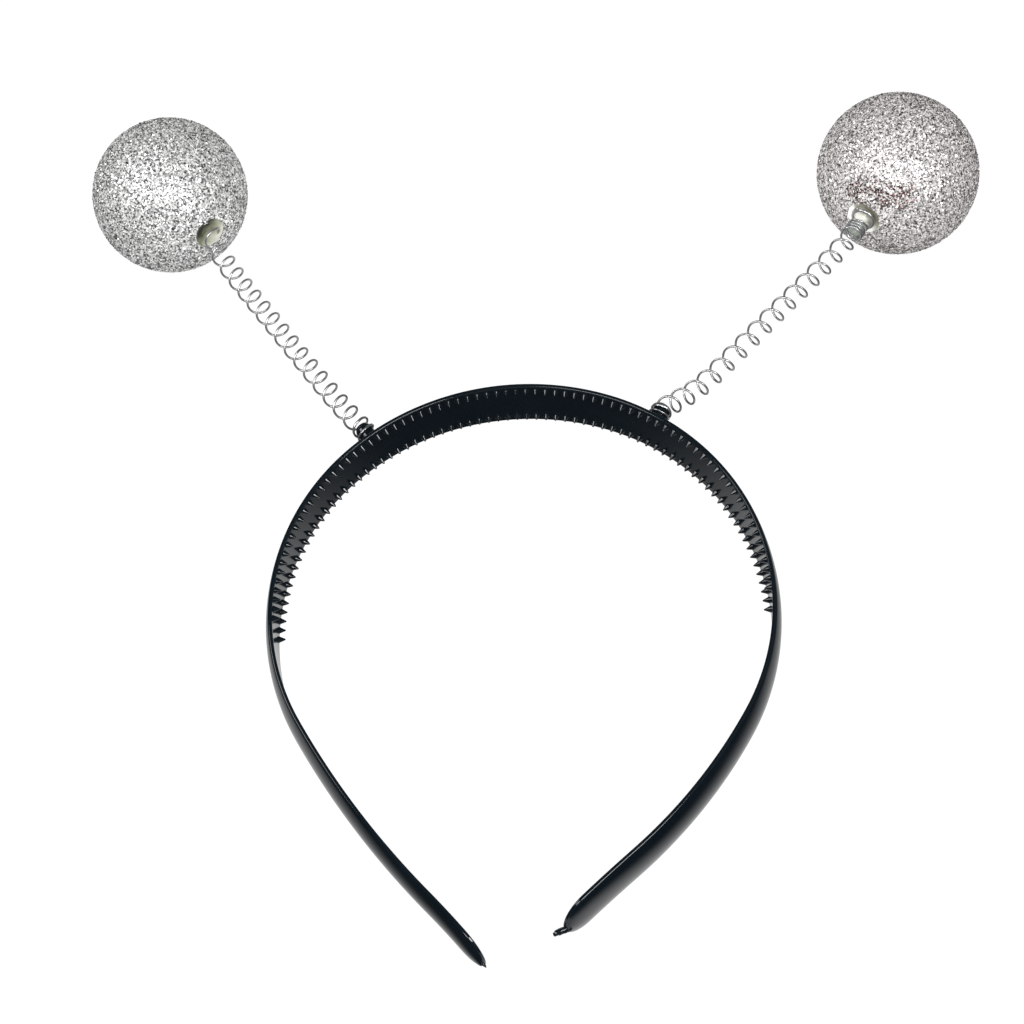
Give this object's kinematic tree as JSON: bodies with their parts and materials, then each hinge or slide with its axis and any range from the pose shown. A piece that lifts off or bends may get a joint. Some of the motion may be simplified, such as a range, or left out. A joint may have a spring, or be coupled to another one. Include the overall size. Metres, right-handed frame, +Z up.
{
  "type": "alien antenna headband",
  "caption": "Toothed black plastic headband with a coil spring antenna on each side of the crown, each carrying a glitter ball that wobbles when worn.",
  "frame": {"origin": "middle of the part's box on the surface it lies on", "axes": "+Z up from that surface, +Y from the tips towards the crown and the balls, +X to the right with the inside of the crown facing the viewer"},
  "size_m": [0.26, 0.2768, 0.0536],
  "materials": {
    "black_plastic": "glossy moulded",
    "spring_steel": "bright drawn wire",
    "silver_glitter": "silver glitter",
    "glue": "cloudy hot glue"
  },
  "bodies": {
    "root": {"headband": "black_plastic", "spring_left": "spring_steel", "spring_right": "spring_steel", "ball_left": "silver_glitter", "ball_right": "silver_glitter", "glue_left": "glue", "glue_right": "glue"}
  },
  "joints": []
}
